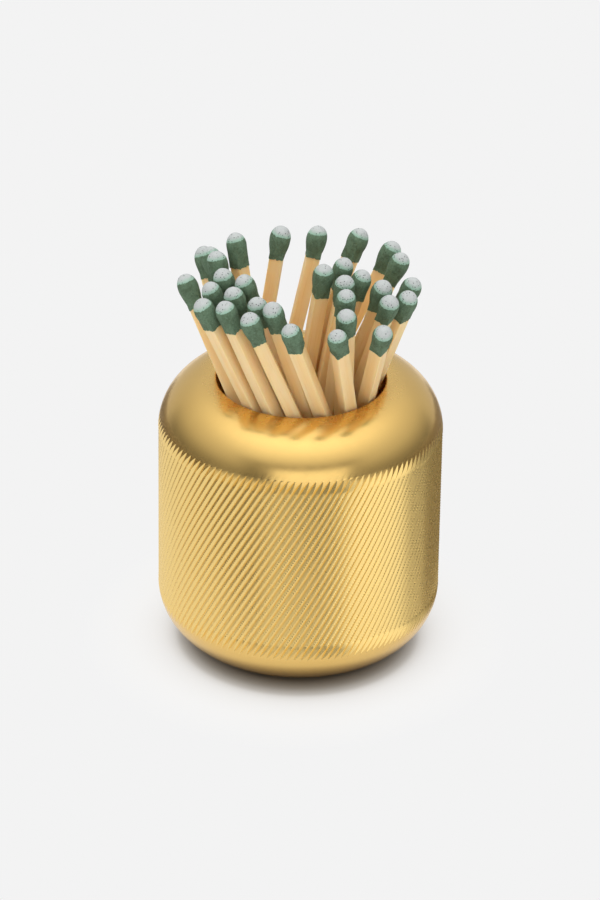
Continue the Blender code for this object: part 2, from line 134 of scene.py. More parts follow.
class NodeSketch:
    """Adds shader nodes to a tree and wires them, so that a finish reads from top to bottom."""

    def __init__(self, tree: bpy.types.NodeTree) -> None:
        """Start on an emptied tree.

        Args:
            tree: The material's or the world's node tree.
        """
        self.tree = tree
        self.tree.nodes.clear()
        self.output: bpy.types.Node | None = None

    def add(self, kind: str, **settings: object) -> bpy.types.Node:
        """Add a node and set its plain settings.

        Args:
            kind: The node's type name, without the leading ShaderNode.
            **settings: Attributes of the node.

        Returns:
            The new node.
        """
        node = self.tree.nodes.new("ShaderNode" + kind)
        for name, value in settings.items():
            setattr(node, name, value)
        return node

    def feed(self, socket: bpy.types.NodeSocket, value: object) -> None:
        """Link a socket, or set it to a plain value.

        Args:
            socket: The input that is fed.
            value: Another node's output, a number or a colour.
        """
        if isinstance(value, bpy.types.NodeSocket):
            self.tree.links.new(value, socket)
        elif isinstance(value, (tuple, list)) and socket.type == "RGBA":
            socket.default_value = (*value[:3], 1.0)
        else:
            socket.default_value = value

    def math(self, operation: str, *values: object) -> bpy.types.NodeSocket:
        """Add a Math node.

        Args:
            operation: The node's operation.
            *values: Its inputs, sockets or numbers.

        Returns:
            The result's socket.
        """
        node = self.add("Math", operation=operation)
        for socket, value in zip(node.inputs, values):
            self.feed(socket, value)
        return node.outputs[0]

    def spread(self, value: object, ramp: Ramp) -> bpy.types.NodeSocket:
        """Map a value's range to another range.

        Args:
            value: The value's socket.
            ramp: Both ranges.

        Returns:
            The result's socket.
        """
        node = self.add("MapRange", interpolation_type="SMOOTHSTEP" if ramp.eased else "LINEAR")
        for name, number in (("From Min", ramp.low), ("From Max", ramp.high),
                             ("To Min", ramp.start), ("To Max", ramp.end)):
            node.inputs[name].default_value = number
        self.feed(node.inputs["Value"], value)
        return node.outputs["Result"]

    def curve(self, value: object, stops: Sequence[Pair]) -> bpy.types.NodeSocket:
        """Follow a smooth curve through a few stops.

        Args:
            value: The value's socket, 0 to 1.
            stops: Pairs of a value and its result, each 0 to 1, in rising order.

        Returns:
            The result's socket.
        """
        node = self.add("FloatCurve")
        points = node.mapping.curves[0].points
        for stop in stops[len(points):]:
            points.new(*stop)
        for point, stop in zip(points, stops):
            point.location = stop
        node.mapping.update()
        self.feed(node.inputs["Value"], value)
        return node.outputs[0]

    def blend(self, factor: object, first: object, second: object,
              kind: MixKind = MixKind.RGBA) -> bpy.types.NodeSocket:
        """Mix two colours or two numbers.

        Args:
            factor: How much of the second one shows.
            first: The first one.
            second: The second one.
            kind: Whether they are numbers or colours.

        Returns:
            The mixture's socket.
        """
        first_input, second_input, result = kind.value
        node = self.add("Mix", data_type=kind.name)
        self.feed(node.inputs["Factor"], factor)
        self.feed(node.inputs[first_input], first)
        self.feed(node.inputs[second_input], second)
        return node.outputs[result]

    def grain(self, vector: object, grain: Grain) -> bpy.types.NodeSocket:
        """Add a noise whose scale differs along the three axes.

        Args:
            vector: The coordinates' socket.
            grain: The noise.

        Returns:
            The noise's value socket.
        """
        mapping = self.add("Mapping")
        mapping.inputs["Scale"].default_value = grain.scale
        self.feed(mapping.inputs["Vector"], vector)
        node = self.add("TexNoise")
        node.inputs["Scale"].default_value = 1.0
        node.inputs["Detail"].default_value = grain.octaves
        node.inputs["Roughness"].default_value = grain.roughness
        self.feed(node.inputs["Vector"], mapping.outputs[0])
        return node.outputs["Fac"]

    def relief(self, height: object, relief: Relief, below: object = None) -> bpy.types.NodeSocket:
        """Add a bump.

        Args:
            height: The height's socket, 0 to 1.
            relief: The bump's depth and strength.
            below: The normal that it is laid over.

        Returns:
            The normal's socket.
        """
        node = self.add("Bump")
        node.inputs["Distance"].default_value = relief.depth
        node.inputs["Strength"].default_value = relief.strength
        self.feed(node.inputs["Height"], height)
        if below is not None:
            self.feed(node.inputs["Normal"], below)
        return node.outputs["Normal"]


class Attribute(Enum):
    """Vertex attributes that the finishes read."""

    LOCAL = "local_mm"
    CUT = "cut_mm"


def new_material(name: str) -> tuple[bpy.types.Material, NodeSketch, bpy.types.Node]:
    """Make a material with an emptied tree and one Principled shader.

    Args:
        name: The material's name.

    Returns:
        The material, its sketch and its shader node.
    """
    material = bpy.data.materials.new(name)
    material.use_nodes = True
    sketch = NodeSketch(material.node_tree)
    shader = sketch.add("BsdfPrincipled")
    sketch.output = sketch.add("OutputMaterial")
    sketch.feed(sketch.output.inputs["Surface"], shader.outputs[0])
    return material, sketch, shader


@dataclass(frozen=True)
class BrassFinish:
    """Satin turned brass with fine lathe lines, fresher and rougher where the ridges are cut."""

    colour: Colour = (0.87, 0.58, 0.19)
    tarnish: Colour = (0.76, 0.48, 0.14)
    cut_colour: Colour = (0.94, 0.68, 0.25)
    cut_share: Ramp = Ramp(0.004, 0.03)
    cloud: Grain = Grain((60, 60, 60), 3.0, 0.6)
    tarnish_share: Ramp = Ramp(0.35, 0.75, 0.0, 0.22)
    lathe: Grain = Grain((9.0 / MM, 9.0 / MM, 1.0), 2.0, 0.7)
    lathe_relief: Relief = Relief(0.0016 * MM)
    smear: Grain = Grain((700, 700, 700), 2.0, 0.5)
    smear_roughness: Ramp = Ramp(0.3, 0.7, -0.02, 0.02)
    cut_roughness: Ramp = Ramp(0.0, 1.0, 0.24, 0.28)
    mouth_roughness: Ramp = Ramp(20.0 * MM, 16.5 * MM, 0.0, 0.03)

    def material(self) -> bpy.types.Material:
        """Build the brass material.

        Returns:
            The material.
        """
        material, sketch, shader = new_material("satin_brass")
        place = sketch.add("TexCoord").outputs["Object"]
        axes = sketch.add("SeparateXYZ")
        sketch.feed(axes.inputs[0], place)
        east, north, height = axes.outputs
        radius = sketch.math("SQRT", sketch.math("ADD", sketch.math("MULTIPLY", east, east),
                                                 sketch.math("MULTIPLY", north, north)))
        depth = sketch.add("Attribute", attribute_name=Attribute.CUT.value).outputs["Fac"]
        cut = sketch.spread(depth, self.cut_share)

        cloud = sketch.grain(place, self.cloud)
        colour = sketch.blend(sketch.spread(cloud, self.tarnish_share), self.colour, self.tarnish)
        sketch.feed(shader.inputs["Base Color"], sketch.blend(cut, colour, self.cut_colour))
        shader.inputs["Metallic"].default_value = 1.0

        profile = sketch.add("CombineXYZ")
        sketch.feed(profile.inputs[0], radius)
        sketch.feed(profile.inputs[1], height)
        lathe = sketch.grain(profile.outputs[0], self.lathe)
        smear = sketch.grain(place, self.smear)
        roughness = sketch.math("ADD", sketch.spread(cut, self.cut_roughness),
                                sketch.spread(smear, self.smear_roughness))
        near_mouth = sketch.spread(radius, self.mouth_roughness)
        sketch.feed(shader.inputs["Roughness"], sketch.math("ADD", roughness, near_mouth))
        sketch.feed(shader.inputs["Normal"], sketch.relief(lathe, self.lathe_relief))
        return material


@dataclass(frozen=True)
class WoodFinish:
    """Pale sawn match wood, with streaks along the stick."""

    pale: Colour = linear(238, 212, 162)
    warm: Colour = linear(236, 202, 143)
    streak: Colour = linear(224, 181, 118)
    broad: Grain = Grain((0.5, 0.5, 0.03), 2.0, 0.5)
    warm_share: Ramp = Ramp(0.35, 0.7)
    fibre: Grain = Grain((5.0, 5.0, 0.16), 3.0, 0.65)
    streak_share: Ramp = Ramp(0.52, 0.8, 0.0, 0.5)
    fibre_relief: Relief = Relief(0.05 * MM, 0.6)
    pores: Grain = Grain((11.0, 11.0, 0.5), 2.0, 0.6)
    pore_relief: Relief = Relief(0.02 * MM, 0.5)
    roughness: float = 0.62
    specular: float = 0.3
    glow: float = 0.5
    glow_depth: float = 1.3 * MM
    glow_reach: Colour = (1.0, 0.62, 0.34)

    def material(self) -> bpy.types.Material:
        """Build the wood material, which reads millimetres along and across the stick.

        Returns:
            The material.
        """
        material, sketch, shader = new_material("match_wood")
        local = sketch.add("Attribute", attribute_name=Attribute.LOCAL.value).outputs["Vector"]
        broad, fibre, pores = (sketch.grain(local, grain) for grain in (self.broad, self.fibre, self.pores))
        colour = sketch.blend(sketch.spread(broad, self.warm_share), self.pale, self.warm)
        colour = sketch.blend(sketch.spread(fibre, self.streak_share), colour, self.streak)
        sketch.feed(shader.inputs["Base Color"], colour)
        shader.inputs["Roughness"].default_value = self.roughness
        shader.inputs["Specular IOR Level"].default_value = self.specular
        shader.inputs["Subsurface Weight"].default_value = self.glow
        shader.inputs["Subsurface Scale"].default_value = self.glow_depth
        shader.inputs["Subsurface Radius"].default_value = self.glow_reach
        normal = sketch.relief(fibre, self.fibre_relief)
        sketch.feed(shader.inputs["Normal"], sketch.relief(pores, self.pore_relief, normal))
        return material


@dataclass(frozen=True)
class HeadFinish:
    """Matt match head: mottled green below, and a pale grey tip with a mint edge, darker spots of painted
    crevice shade and small pits darkened with painted shade.

    Lengths are in millimetres here, apart from the reliefs' depths.
    """

    green: Colour = linear(98, 122, 98)
    olive: Colour = linear(82, 100, 78)
    mint: Colour = linear(150, 184, 164)
    grey: Colour = linear(190, 190, 191)
    painted_crevice_shade: Colour = linear(134, 142, 138)
    bright_grain: Colour = linear(118, 146, 122)
    dark_grain: Colour = linear(62, 80, 62)
    painted_pit_shade: Colour = linear(62, 72, 66)
    mottle: Grain = Grain((0.7, 0.7, 0.5), 3.0, 0.6)
    olive_share: Ramp = Ramp(0.4, 0.7)
    crumb: Grain = Grain((3.0, 3.0, 3.0), 3.0, 0.7)
    bright_share: Ramp = Ramp(0.54, 0.72, 0.0, 0.6)
    dark_share: Ramp = Ramp(0.46, 0.28, 0.0, 0.7)
    painted_crevice_share: Ramp = Ramp(0.56, 0.74, 0.0, 0.5)
    crumb_relief: Relief = Relief(0.2 * MM, 0.9)
    speck: Grain = Grain((7.0, 7.0, 7.0), 2.0, 0.6)
    speck_share: Ramp = Ramp(0.35, 0.75, 0.0, 0.35)
    speck_relief: Relief = Relief(0.05 * MM, 0.9)
    ragged: Grain = Grain((2.2, 2.2, 2.2), 3.0, 0.6)
    ragged_reach: Ramp = Ramp(0.2, 0.8, -0.16, 0.16, eased=False)
    cap_length: float = 1.4
    cap_blur: float = 0.05
    mint_width: float = 0.85
    pit_spacing: float = 0.36
    pit_radius: float = 0.08
    pit_rim: Pair = (1.6, 0.6)
    pit_rarity: Ramp = Ramp(0.2, 1.2, 0.75, 0.3)
    pit_relief: Relief = Relief(0.08 * MM, 0.8)
    roughness: float = 0.8
    specular: float = 0.25

    def material(self) -> bpy.types.Material:
        """Build the head material, which reads millimetres, z down from the tip.

        Returns:
            The material.
        """
        material, sketch, shader = new_material("match_head")
        local = sketch.add("Attribute", attribute_name=Attribute.LOCAL.value).outputs["Vector"]
        axes = sketch.add("SeparateXYZ")
        sketch.feed(axes.inputs[0], local)
        below_tip = axes.outputs[2]
        ragged = sketch.grain(local, self.ragged)
        depth = sketch.math("ADD", below_tip, sketch.spread(ragged, self.ragged_reach))

        mottle, speck, crumb = (sketch.grain(local, grain) for grain in (self.mottle, self.speck, self.crumb))
        body = sketch.blend(sketch.spread(mottle, self.olive_share), self.green, self.olive)
        body = sketch.blend(sketch.spread(crumb, self.bright_share), body, self.bright_grain)
        body = sketch.blend(sketch.spread(crumb, self.dark_share), body, self.dark_grain)
        cap = sketch.blend(sketch.spread(speck, self.speck_share), self.grey, self.mint)
        # Painted shade: darker grey spots of crevice shade, laid on the tip by the crumb noise.
        cap = sketch.blend(sketch.spread(crumb, self.painted_crevice_share), cap, self.painted_crevice_shade)
        mint_share = Ramp(self.cap_length - self.mint_width, self.cap_length)
        cap = sketch.blend(sketch.spread(depth, mint_share), cap, self.mint)
        body_share = Ramp(self.cap_length - self.cap_blur, self.cap_length + self.cap_blur)
        colour = sketch.blend(sketch.spread(depth, body_share), cap, body)

        cells = sketch.add("TexVoronoi", feature="F1")
        cells.inputs["Scale"].default_value = 1 / self.pit_spacing
        sketch.feed(cells.inputs["Vector"], local)
        chance = sketch.add("SeparateColor")
        sketch.feed(chance.inputs[0], cells.outputs["Color"])
        rarity = sketch.spread(depth, self.pit_rarity)
        chosen = sketch.math("GREATER_THAN", chance.outputs[0], rarity)
        in_cap = sketch.math("LESS_THAN", depth, self.cap_length - self.pit_radius)
        radius_share = self.pit_radius / self.pit_spacing
        rim, bottom = (radius_share * share for share in self.pit_rim)
        hole = sketch.spread(cells.outputs["Distance"], Ramp(rim, bottom))
        pits = sketch.math("MULTIPLY", sketch.math("MULTIPLY", hole, chosen), in_cap)
        # Painted shade: the pits are darkened in colour on top of their sunken bump.
        sketch.feed(shader.inputs["Base Color"], sketch.blend(pits, colour, self.painted_pit_shade))
        shader.inputs["Roughness"].default_value = self.roughness
        shader.inputs["Specular IOR Level"].default_value = self.specular
        normal = sketch.relief(crumb, self.crumb_relief)
        normal = sketch.relief(speck, self.speck_relief, normal)
        sunk = sketch.math("SUBTRACT", 1.0, pits)
        sketch.feed(shader.inputs["Normal"], sketch.relief(sunk, self.pit_relief, normal))
        return material


class Column(Enum):
    """The four columns of the pot's mesh that each ridge has, from groove to groove."""

    GROOVE = 0
    RIGHT_WALL = 1
    CREST = 2
    LEFT_WALL = 3

    @property
    def is_wall(self) -> bool:
        """Return whether the column runs along a groove's wall."""
        return self in (Column.RIGHT_WALL, Column.LEFT_WALL)


@dataclass
class Pot:
    """The turned brass pot with its rounded shoulder, slanting ridges, lip and bore."""

    radius: float = 25.4 * MM
    height: float = 51.2 * MM
    shoulder_arc: float = 10.0 * MM
    lip_arc: float = 0.25 * MM
    base_radius: float = 18.05 * MM
    lower_height: float = 10.3 * MM
    base_edge: float = 0.3 * MM
    bore_radius: float = 15.1 * MM
    bore_depth: float = 34.7 * MM
    ridges: int = 128
    ridge_depth: float = 0.4 * MM
    ridge_lean: float = math.radians(30)
    notch_pitch: float = 0.44 * MM
    notch_depth: float = 0.13 * MM
    crest_share: float = 0.4
    notch_slant: float = 0.08 * MM
    smooth_wall: float = 0.5
    floor_ring: float = 0.5
    lower_rows: int = 8
    run_out_rows: int = 11
    shoulder_rows: int = 13
    lip_rows: int = 5
    sharp: float = math.radians(26)
    finish: BrassFinish = field(default_factory=BrassFinish)

    @property
    def side_top(self) -> float:
        """Return the height at which the straight side ends and the shoulder starts."""
        return self.height - self.shoulder_arc

    @property
    def floor(self) -> float:
        """Return the height of the bore's floor."""
        return self.height - self.bore_depth

    @property
    def cross_rows(self) -> int:
        """Return how many rows the straight side has, two for each cross cut."""
        return 2 * round((self.side_top - self.lower_height) / self.notch_pitch)

    @property
    def lower_arc(self) -> float:
        """Return the radius of the arc between the side and the base."""
        inset = self.radius - self.base_radius
        return (inset ** 2 + self.lower_height ** 2) / (2 * inset)

    def arc(self, centre: Pair, radius: float, angles: Sequence[float]) -> list[Pair]:
        """Return points on an arc of the half outline.

        Args:
            centre: The arc's centre, as radius and height.
            radius: The radius of the arc itself.
            angles: The points' angles, from the outward direction.

        Returns:
            The points, as radius and height.
        """
        return [(centre[0] + radius * math.cos(angle), centre[1] + radius * math.sin(angle))
                for angle in angles]

    def run_out_angles(self, radius: float) -> list[float]:
        """Return where rows lie on an arc while the ridges run out, closer together near their tips.

        Args:
            radius: The arc's radius.

        Returns:
            The angles, from the side to where the arc has fallen by a ridge's depth.
        """
        shares = [row / self.run_out_rows for row in range(1, self.run_out_rows + 1)]
        reach = math.acos(1 - self.ridge_depth / radius)
        return [reach * (share + math.sqrt(share)) / 2 for share in shares]

    def outline(self) -> list[Pair]:
        """Return the half outline from the middle of the base to the middle of the bore's floor.

        Returns:
            The points, as radius and height.
        """
        lower, upper = self.lower_arc, self.shoulder_arc
        low_run_out, high_run_out = self.run_out_angles(lower), self.run_out_angles(upper)
        low_centre = (self.radius - lower, self.lower_height)
        high_centre = (self.radius - upper, self.side_top)
        foot = -math.asin(self.lower_height / lower)
        low_edge = self.arc(low_centre, lower, between(foot, -low_run_out[-1], self.lower_rows)[:-1])
        low_edge[0] = (low_edge[0][0], self.base_edge)
        points = [(0.0, 0.0), (self.base_radius * self.floor_ring, 0.0),
                  (self.base_radius - self.base_edge, 0.0), *low_edge]
        points += self.arc(low_centre, lower, [-angle for angle in reversed(low_run_out)])
        points += [(self.radius, height)
                   for height in between(self.lower_height, self.side_top, self.cross_rows)]
        points += self.arc(high_centre, upper, high_run_out)
        points += self.arc(high_centre, upper,
                           between(high_run_out[-1], math.pi / 2, self.shoulder_rows)[1:])
        lip = (self.bore_radius + self.lip_arc, self.height - self.lip_arc)
        points += self.arc(lip, self.lip_arc, between(math.pi / 2, math.pi, self.lip_rows)[1:])
        points += [(self.bore_radius, self.height - self.bore_depth / 2), (self.bore_radius, self.floor)]
        points += [(self.bore_radius * self.floor_ring, self.floor), (0.0, self.floor)]
        return points

    def build(self) -> bpy.types.Object:
        """Spin the outline, sink the grooves between the ridges and lean them over.

        Returns:
            The pot's object.
        """
        mesh = bmesh.new()
        line = [mesh.verts.new((radius, 0.0, height)) for radius, height in self.outline()]
        edges = [mesh.edges.new(pair) for pair in zip(line, line[1:])]
        bmesh.ops.spin(mesh, geom=line + edges, cent=(0, 0, 0), axis=(0, 0, 1), dvec=(0, 0, 0),
                       angle=math.tau, steps=self.ridges * len(Column), use_merge=True,
                       use_duplicate=False)
        bmesh.ops.remove_doubles(mesh, verts=mesh.verts, dist=TINY)
        bmesh.ops.recalc_face_normals(mesh, faces=mesh.faces)
        self.cut_ridges(mesh)
        pot = finish_piece("pot_body", mesh, self.finish.material(), self.sharp)
        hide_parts("striker_pot")
        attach(pot, "pot")
        return pot

    def crest_height(self, height: float) -> float:
        """Return how far the fine cross cuts lower a ridge's crest at a row of the straight side.

        Args:
            height: The row's height.

        Returns:
            The depth.
        """
        straight = self.side_top - self.lower_height
        row = round((height - self.lower_height) / straight * self.cross_rows)
        return self.notch_depth * (row % 2)

    def cut_ridges(self, mesh: bmesh.types.BMesh) -> None:
        """Sink the grooves into the side, notch the crests and lean all of the outer side over.

        The columns beside a crest move along the groove's wall to where the crest is cut off: by
        the cross cuts on the straight side, and by the rounded edges where the ridges run out.

        Args:
            mesh: The spun pot.
        """
        lean = math.tan(self.ridge_lean) / self.radius
        pitch = math.tau / self.ridges
        layer = mesh.verts.layers.float.new(Attribute.CUT.value)
        for vertex in mesh.verts:
            radius, height = vertex.co.xy.length, vertex.co.z
            if radius < TINY:
                continue
            angle = math.atan2(vertex.co.y, vertex.co.x)
            if radius < self.bore_radius + self.lip_arc and height > self.floor - TINY:
                angle += lean * self.height
            else:
                ridge, number = divmod(round(angle / pitch * len(Column)), len(Column))
                column = Column(number)
                fall = self.radius - radius
                straight, smooth = fall < TINY, fall > self.ridge_depth - TINY
                wall = self.smooth_wall if smooth else 1 - fall / self.ridge_depth
                if straight:
                    wall = 1 - self.crest_share
                place = (0.0, wall, 1.0, 2 - wall)[number]
                if straight and column is Column.CREST:
                    radius -= self.crest_height(height)
                elif not smooth:
                    radius = min(radius, self.radius - self.ridge_depth * abs(1 - place))
                if straight and column.is_wall:
                    height += math.copysign(self.notch_slant, 1 - place)
                angle = (ridge + place / 2) * pitch + lean * height
            vertex[layer] = (vertex.co.xy.length - radius) / MM
            vertex.co = Vector((radius * math.cos(angle), radius * math.sin(angle), height))


@dataclass
class Match:
    """One match, a square wood stick with its dipped head, along its own line."""

    number: int
    foot: Vector
    way: Vector
    face: Vector
    length: float = 60.0 * MM
    stick_width: float = 2.42 * MM
    stick_bevel: float = 0.10 * MM
    head_width: float = 3.78 * MM
    head_length: float = 6.15 * MM
    head_dome: float = 2.35 * MM
    dome_share: float = 0.42
    tip_inset: float = 0.04 * MM
    coat: float = 0.08 * MM
    coat_corner: float = 1.37
    coat_start: float = 8.0
    draw_in: float = 2.0
    waist: float = 1.4
    closing_share: float = 0.9
    lump: float = 0.035 * MM
    lump_scale: Pair = (1.98, 0.9)
    ragged_edge: float = 0.3 * MM
    ragged_from: float = 0.6
    ragged_scale: float = 9.0
    saw_mark: float = 0.018
    saw_scale: tuple[float, float, float] = (0.8, 0.8, 0.25)
    stick_rows: int = 30
    head_columns: int = 40
    head_rows: int = 30
    stick_sharp: float = math.radians(35)
    head_sharp: float = math.radians(60)
    seed_step: int = 7919
    width_spread: Pair = (0.95, 1.0)
    length_spread: Pair = (0.93, 1.03)
    grain_spread: Pair = (0.0, 90.0)
    tilt_spread: Pair = (-0.14, 0.14)
    shift_spread: Pair = (-0.2, 0.25)
    lean_spread: Pair = (-0.09, 0.09)

    def __post_init__(self) -> None:
        """Draw this match's own small differences from its number."""
        chance = Random(self.number * self.seed_step)
        self.head_width *= chance.uniform(*self.width_spread)
        self.head_length *= chance.uniform(*self.length_spread)
        self.offset = self.draw_level(chance, self.grain_spread)
        self.cap_tilt = self.draw_level(chance, self.tilt_spread)
        self.cap_shift = chance.uniform(*self.shift_spread)
        self.tip_lean = self.draw_level(chance, self.lean_spread) * MM

    @staticmethod
    def draw_level(chance: Random, spread: Pair) -> Vector:
        """Draw a level vector.

        Args:
            chance: The match's own random draws.
            spread: The least and the greatest value along x and y.

        Returns:
            The vector, with no height.
        """
        return Vector((chance.uniform(*spread), chance.uniform(*spread), 0.0))

    @property
    def name(self) -> str:
        """Return the node's name."""
        return f"match_{self.number:02d}"

    @property
    def placement(self) -> Matrix:
        """Return the matrix that carries local coordinates, z up the stick, to their place."""
        other = self.way.cross(self.face)
        axes = Matrix((self.face, other, self.way)).transposed()
        return Matrix.Translation(self.foot) @ axes.to_4x4()

    def build(self, wood: bpy.types.Material, head: bpy.types.Material) -> list[bpy.types.Object]:
        """Build the stick and the head.

        Args:
            wood: The sticks' material.
            head: The heads' material.

        Returns:
            The two pieces.
        """
        pieces = [self.build_stick(wood), self.build_head(head)]
        for piece in pieces:
            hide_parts(self.name)
            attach(piece, self.name + "_body")
        return pieces

    def build_stick(self, wood: bpy.types.Material) -> bpy.types.Object:
        """Build the square stick, with worn edges and a slightly uneven sawn surface.

        Args:
            wood: The material.

        Returns:
            The stick's object.
        """
        top = self.length - self.head_dome
        mesh = bmesh.new()
        bmesh.ops.create_cube(mesh, size=1.0)
        bmesh.ops.scale(mesh, vec=(self.stick_width, self.stick_width, top), verts=mesh.verts)
        bmesh.ops.translate(mesh, vec=(0, 0, top / 2), verts=mesh.verts)
        bmesh.ops.bevel(mesh, geom=mesh.edges[:], offset=self.stick_bevel, segments=2, affect="EDGES",
                        profile=0.5, material=-1)
        long_edges = [edge for edge in mesh.edges if abs(edge.verts[0].co.z - edge.verts[1].co.z) > top / 2]
        bmesh.ops.subdivide_edges(mesh, edges=long_edges, cuts=self.stick_rows, use_grid_fill=True)
        for vertex in mesh.verts:
            spot = (vertex.co / MM + self.offset) * Vector(self.saw_scale)
            vertex.co.xy *= 1 - self.saw_mark * (1 + noise.noise(spot))
        return self.place_piece(self.name + "_stick", mesh, wood, self.stick_sharp)

    def head_outline(self, share: float) -> Pair:
        """Return the head's outline at a share of the way from its tip to its lower edge.

        Args:
            share: From 0 at the tip to 1 at the lower edge.

        Returns:
            The radius and the distance below the tip.
        """
        widest = self.head_width / 2
        if share < self.dome_share:
            angle = math.pi / 2 * share / self.dome_share
            return widest * math.sin(angle), self.tip_inset + self.head_dome * (1 - math.cos(angle))
        rest = (share - self.dome_share) / (1 - self.dome_share)
        edge = self.stick_width / 2 + self.coat
        radius = edge + (widest - edge) * math.cos(math.pi / 2 * rest) ** self.waist
        below = self.tip_inset + self.head_dome + (self.head_length - self.head_dome) * rest
        return radius, below

    def build_head(self, head: bpy.types.Material) -> bpy.types.Object:
        """Build the dipped head: a round tip that draws in to a thin square coat on the stick.

        Args:
            head: The material.

        Returns:
            The head's object.
        """
        mesh = bmesh.new()
        bmesh.ops.create_uvsphere(mesh, u_segments=self.head_columns, v_segments=self.head_rows, radius=1.0)
        for vertex in mesh.verts:
            turn = math.atan2(vertex.co.y, vertex.co.x)
            path = math.acos(max(-1.0, min(1.0, vertex.co.z))) / math.pi / self.closing_share
            radius, below = self.head_outline(min(path, 1.0))
            past_dome = max(0.0, path - self.dome_share)
            drawn_in = min(1.0, past_dome * self.draw_in)
            side = max(abs(math.cos(turn)), abs(math.sin(turn)))
            coat = (self.stick_width / 2 + self.coat) * min(1 / side, self.coat_corner)
            radius = max(radius, coat * min(1.0, past_dome * self.coat_start))
            if path > 1.0:
                radius *= max(0.0, 1 - (path - 1) / (1 / self.closing_share - 1))
            way_round = Vector((math.cos(turn), math.sin(turn), 0))
            around, along = self.lump_scale
            spot = way_round * around + (Vector((0, 0, below / MM)) + self.offset) * along
            radius += self.lump * noise.noise(spot) * min(1.0, radius / MM)
            if path > self.ragged_from:
                raggedness = min(1.0, (path - self.ragged_from) / (1 - self.ragged_from))
                edge_spot = way_round * self.ragged_scale + self.offset
                below += self.ragged_edge * noise.noise(edge_spot) * raggedness
            vertex.co = Vector((radius * math.cos(turn), radius * math.sin(turn), self.length - below))
            vertex.co += self.tip_lean * (1 - drawn_in) * min(1.0, radius / MM)
        bmesh.ops.recalc_face_normals(mesh, faces=mesh.faces)
        return self.place_piece(self.name + "_head", mesh, head, self.head_sharp, from_tip=True)

    def place_piece(self, name: str, mesh: bmesh.types.BMesh, material: bpy.types.Material,
                    sharp: float, from_tip: bool = False) -> bpy.types.Object:
        """Keep the local coordinates as an attribute and carry the piece to its place.

        Args:
            name: The piece's name.
            mesh: The piece in local coordinates.
            material: Its material.
            sharp: The angle past which an edge is sharp.
            from_tip: Whether the attribute's z is counted down from the tip, with the cap's own tilt.

        Returns:
            The piece's object.
        """
        layer = mesh.verts.layers.float_vector.new(Attribute.LOCAL.value)
        for vertex in mesh.verts:
            local = vertex.co / MM
            if from_tip:
                local.z = self.length / MM - local.z + local.dot(self.cap_tilt) + self.cap_shift
            vertex[layer] = local + self.offset
        bmesh.ops.transform(mesh, matrix=self.placement, verts=mesh.verts)
        return finish_piece(name, mesh, material, sharp)


def finish_piece(name: str, mesh: bmesh.types.BMesh, material: bpy.types.Material,
                 sharp: float) -> bpy.types.Object:
    """Turn a finished bmesh into an object at the origin.

    Args:
        name: The object's name.
        mesh: The bmesh, which is freed.
        material: The material.
        sharp: The angle past which an edge is sharp.

    Returns:
        The object.
    """
    data = bpy.data.meshes.new(name)
    mesh.to_mesh(data)
    mesh.free()
    data.shade_smooth()
    data.set_sharp_from_angle(angle=sharp)
    data.materials.append(material)
    piece = bpy.data.objects.new(name, data)
    bpy.context.scene.collection.objects.link(piece)
    LOG.info("%s: %d faces", name, len(data.polygons))
    return piece


@dataclass
class Bunch:
    """All the matches, placed by their joints."""

    level_within: float = 0.05 * MM
    wood: WoodFinish = field(default_factory=WoodFinish)
    head: HeadFinish = field(default_factory=HeadFinish)

    def find_face(self, node: bpy.types.Object, foot: Vector, way: Vector) -> Vector:
        """Return the direction that one face of a stick looks to.

        Args:
            node: The match's solid.
            foot: The middle of the stick's lower end.
            way: The direction up the stick.

        Returns:
            The direction, level with the lower end.
        """
        corners = [vertex.co - foot for vertex in node.data.vertices
                   if abs((vertex.co - foot).dot(way)) < self.level_within]
        diagonal = max(corners, key=lambda corner: corner.length)
        diagonal = (diagonal - way * diagonal.dot(way)).normalized()
        return Matrix.Rotation(math.pi / 4, 3, way) @ diagonal

    def build(self) -> list[Match]:
        """Build every match.

        Returns:
            The matches.
        """
        wood, head = self.wood.material(), self.head.material()
        matches = []
        for joint in frame["joints"]:
            number = int(joint["child"].split("_")[1])
            foot, way = Vector(joint["pos_m"]), Vector(joint["axis"]).normalized()
            face = self.find_face(frame["nodes"][f"match_{number:02d}"], foot, way)
            match = Match(number, foot, way, face)
            match.build(wood, head)
            matches.append(match)
        return matches


